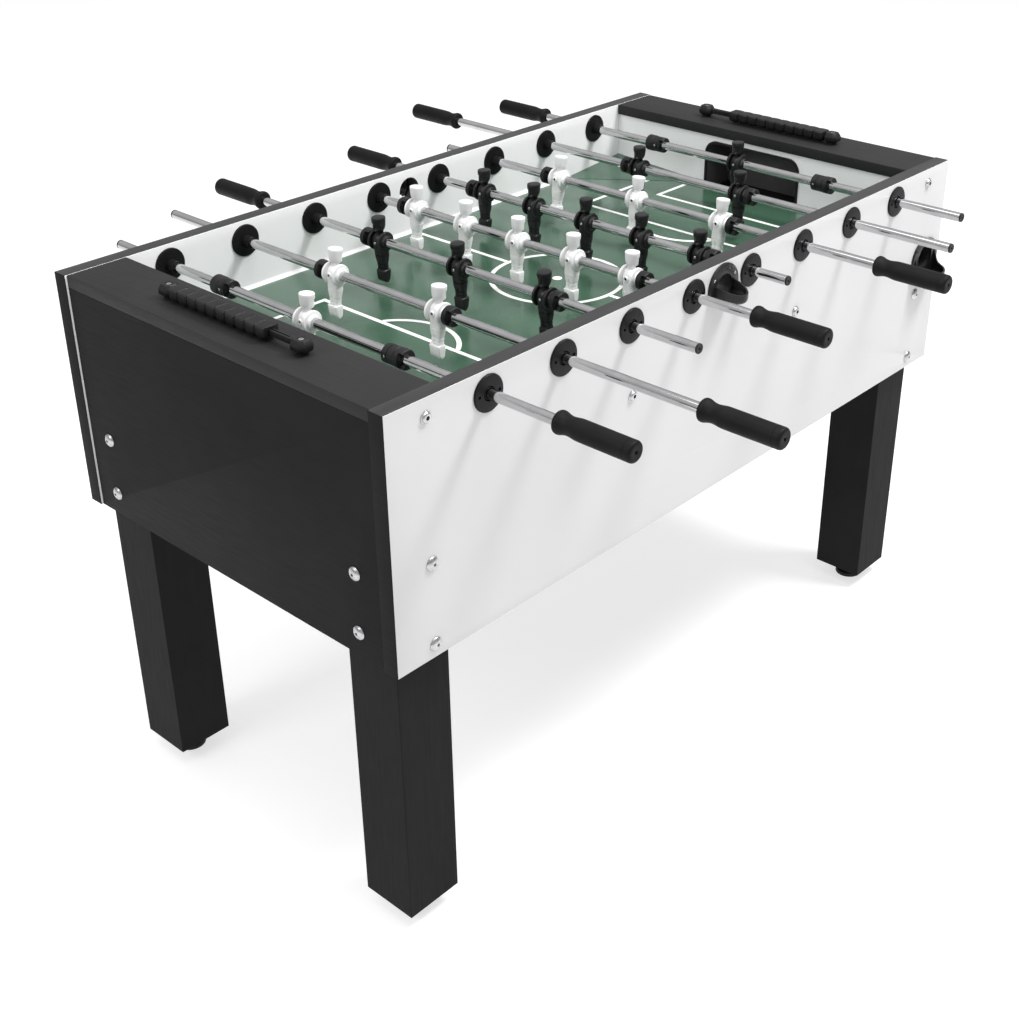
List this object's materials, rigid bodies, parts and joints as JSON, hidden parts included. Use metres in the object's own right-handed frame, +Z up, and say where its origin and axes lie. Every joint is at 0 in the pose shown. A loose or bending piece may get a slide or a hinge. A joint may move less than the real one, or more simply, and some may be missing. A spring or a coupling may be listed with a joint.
{
  "type": "foosball table",
  "caption": "Foosball table: laminate cabinet on square legs, green field, sliding and spinning rods with men, end goals, serving and return cups and sliding bead scorers.",
  "frame": {"origin": "on the floor, under the middle of the cabinet", "axes": "+X along the table towards the dark team's goal, +Y along the rods towards the back, +Z up"},
  "size_m": [1.4256, 1.452, 0.927],
  "materials": {
    "white_laminate": "satin",
    "black_laminate": "satin",
    "wall_laminate": "satin",
    "field_laminate": "satin",
    "field_corner": "satin",
    "white_strip": "satin",
    "bare_wood": "matte",
    "goal_plastic": "satin",
    "chute_plastic": "satin",
    "cup_plastic": "satin",
    "leg_laminate": "satin",
    "foot_plastic": "matte",
    "bolt_steel": "satin",
    "bearing_nylon": "satin",
    "scorer_plastic": "satin",
    "bead_plastic": "satin",
    "rod_chrome": "polished",
    "white_men": "satin",
    "black_men": "satin",
    "grip_rubber": "matte",
    "bumper_rubber": "matte"
  },
  "bodies": {
    "cabinet": {"front_side_panel": "white_laminate", "back_side_panel": "white_laminate", "end_panels": "black_laminate", "end_ledges": "black_laminate", "inner_end_walls": "wall_laminate", "playfield": "field_laminate", "corner_ramps": "field_corner", "side_strips": "white_strip", "cross_beams": "bare_wood", "goal_boxes": "goal_plastic", "ball_chutes": "chute_plastic", "ball_cups": "cup_plastic", "legs": "leg_laminate", "levelers": "foot_plastic", "leg_bolts": "bolt_steel", "cabinet_bolts": "bolt_steel", "bearing_housings": "bearing_nylon", "scorer_frames": "scorer_plastic"},
    "rod_1_bearing": {"rod_1_sleeves": "bearing_nylon"},
    "rod_1_assembly": {"rod_1": "rod_chrome", "rod_1_men": "white_men", "rod_1_handle": "grip_rubber", "rod_1_fittings": "bumper_rubber"},
    "rod_2_bearing": {"rod_2_sleeves": "bearing_nylon"},
    "rod_2_assembly": {"rod_2": "rod_chrome", "rod_2_men": "white_men", "rod_2_handle": "grip_rubber", "rod_2_fittings": "bumper_rubber"},
    "rod_3_bearing": {"rod_3_sleeves": "bearing_nylon"},
    "rod_3_assembly": {"rod_3": "rod_chrome", "rod_3_men": "black_men", "rod_3_handle": "grip_rubber", "rod_3_fittings": "bumper_rubber"},
    "rod_4_bearing": {"rod_4_sleeves": "bearing_nylon"},
    "rod_4_assembly": {"rod_4": "rod_chrome", "rod_4_men": "white_men", "rod_4_handle": "grip_rubber", "rod_4_fittings": "bumper_rubber"},
    "rod_5_bearing": {"rod_5_sleeves": "bearing_nylon"},
    "rod_5_assembly": {"rod_5": "rod_chrome", "rod_5_men": "black_men", "rod_5_handle": "grip_rubber", "rod_5_fittings": "bumper_rubber"},
    "rod_6_bearing": {"rod_6_sleeves": "bearing_nylon"},
    "rod_6_assembly": {"rod_6": "rod_chrome", "rod_6_men": "white_men", "rod_6_handle": "grip_rubber", "rod_6_fittings": "bumper_rubber"},
    "rod_7_bearing": {"rod_7_sleeves": "bearing_nylon"},
    "rod_7_assembly": {"rod_7": "rod_chrome", "rod_7_men": "black_men", "rod_7_handle": "grip_rubber", "rod_7_fittings": "bumper_rubber"},
    "rod_8_bearing": {"rod_8_sleeves": "bearing_nylon"},
    "rod_8_assembly": {"rod_8": "rod_chrome", "rod_8_men": "black_men", "rod_8_handle": "grip_rubber", "rod_8_fittings": "bumper_rubber"},
    "left_beads": {"left_scorer_beads": "bead_plastic"},
    "right_beads": {"right_scorer_beads": "bead_plastic"}
  },
  "joints": [
    {"name": "rod_1_spin", "type": "hinge", "parent": "cabinet", "child": "rod_1_bearing", "pos_m": [-0.525, 0, 0.87], "axis": [0, 1, 0], "continuous": true},
    {"name": "rod_1_slide", "type": "slide", "parent": "rod_1_bearing", "child": "rod_1_assembly", "axis": [0, 1, 0], "range_m": [-0.10495, 0.10295]},
    {"name": "rod_2_spin", "type": "hinge", "parent": "cabinet", "child": "rod_2_bearing", "pos_m": [-0.375, 0, 0.87], "axis": [0, 1, 0], "continuous": true},
    {"name": "rod_2_slide", "type": "slide", "parent": "rod_2_bearing", "child": "rod_2_assembly", "axis": [0, 1, 0], "range_m": [-0.1627, 0.1717]},
    {"name": "rod_3_spin", "type": "hinge", "parent": "cabinet", "child": "rod_3_bearing", "pos_m": [-0.225, 0, 0.87], "axis": [0, 1, 0], "continuous": true},
    {"name": "rod_3_slide", "type": "slide", "parent": "rod_3_bearing", "child": "rod_3_assembly", "axis": [0, 1, 0], "range_m": [-0.0836, 0.1126]},
    {"name": "rod_4_spin", "type": "hinge", "parent": "cabinet", "child": "rod_4_bearing", "pos_m": [-0.075, 0, 0.87], "axis": [0, 1, 0], "continuous": true},
    {"name": "rod_4_slide", "type": "slide", "parent": "rod_4_bearing", "child": "rod_4_assembly", "axis": [0, 1, 0], "range_m": [-0.0377, 0.0417]},
    {"name": "rod_5_spin", "type": "hinge", "parent": "cabinet", "child": "rod_5_bearing", "pos_m": [0.075, 0, 0.87], "axis": [0, 1, 0], "continuous": true},
    {"name": "rod_5_slide", "type": "slide", "parent": "rod_5_bearing", "child": "rod_5_assembly", "axis": [0, 1, 0], "range_m": [-0.0157, 0.0637]},
    {"name": "rod_6_spin", "type": "hinge", "parent": "cabinet", "child": "rod_6_bearing", "pos_m": [0.225, 0, 0.87], "axis": [0, 1, 0], "continuous": true},
    {"name": "rod_6_slide", "type": "slide", "parent": "rod_6_bearing", "child": "rod_6_assembly", "axis": [0, 1, 0], "range_m": [-0.0836, 0.1126]},
    {"name": "rod_7_spin", "type": "hinge", "parent": "cabinet", "child": "rod_7_bearing", "pos_m": [0.375, 0, 0.87], "axis": [0, 1, 0], "continuous": true},
    {"name": "rod_7_slide", "type": "slide", "parent": "rod_7_bearing", "child": "rod_7_assembly", "axis": [0, 1, 0], "range_m": [-0.1507, 0.1837]},
    {"name": "rod_8_spin", "type": "hinge", "parent": "cabinet", "child": "rod_8_bearing", "pos_m": [0.525, 0, 0.87], "axis": [0, 1, 0], "continuous": true},
    {"name": "rod_8_slide", "type": "slide", "parent": "rod_8_bearing", "child": "rod_8_assembly", "axis": [0, 1, 0], "range_m": [-0.08245, 0.12545]},
    {"name": "left_beads_slide", "type": "slide", "parent": "cabinet", "child": "left_beads", "axis": [0, 1, 0], "range_m": [-0.0485, 0]},
    {"name": "right_beads_slide", "type": "slide", "parent": "cabinet", "child": "right_beads", "axis": [0, 1, 0], "range_m": [0, 0.0485]}
  ]
}
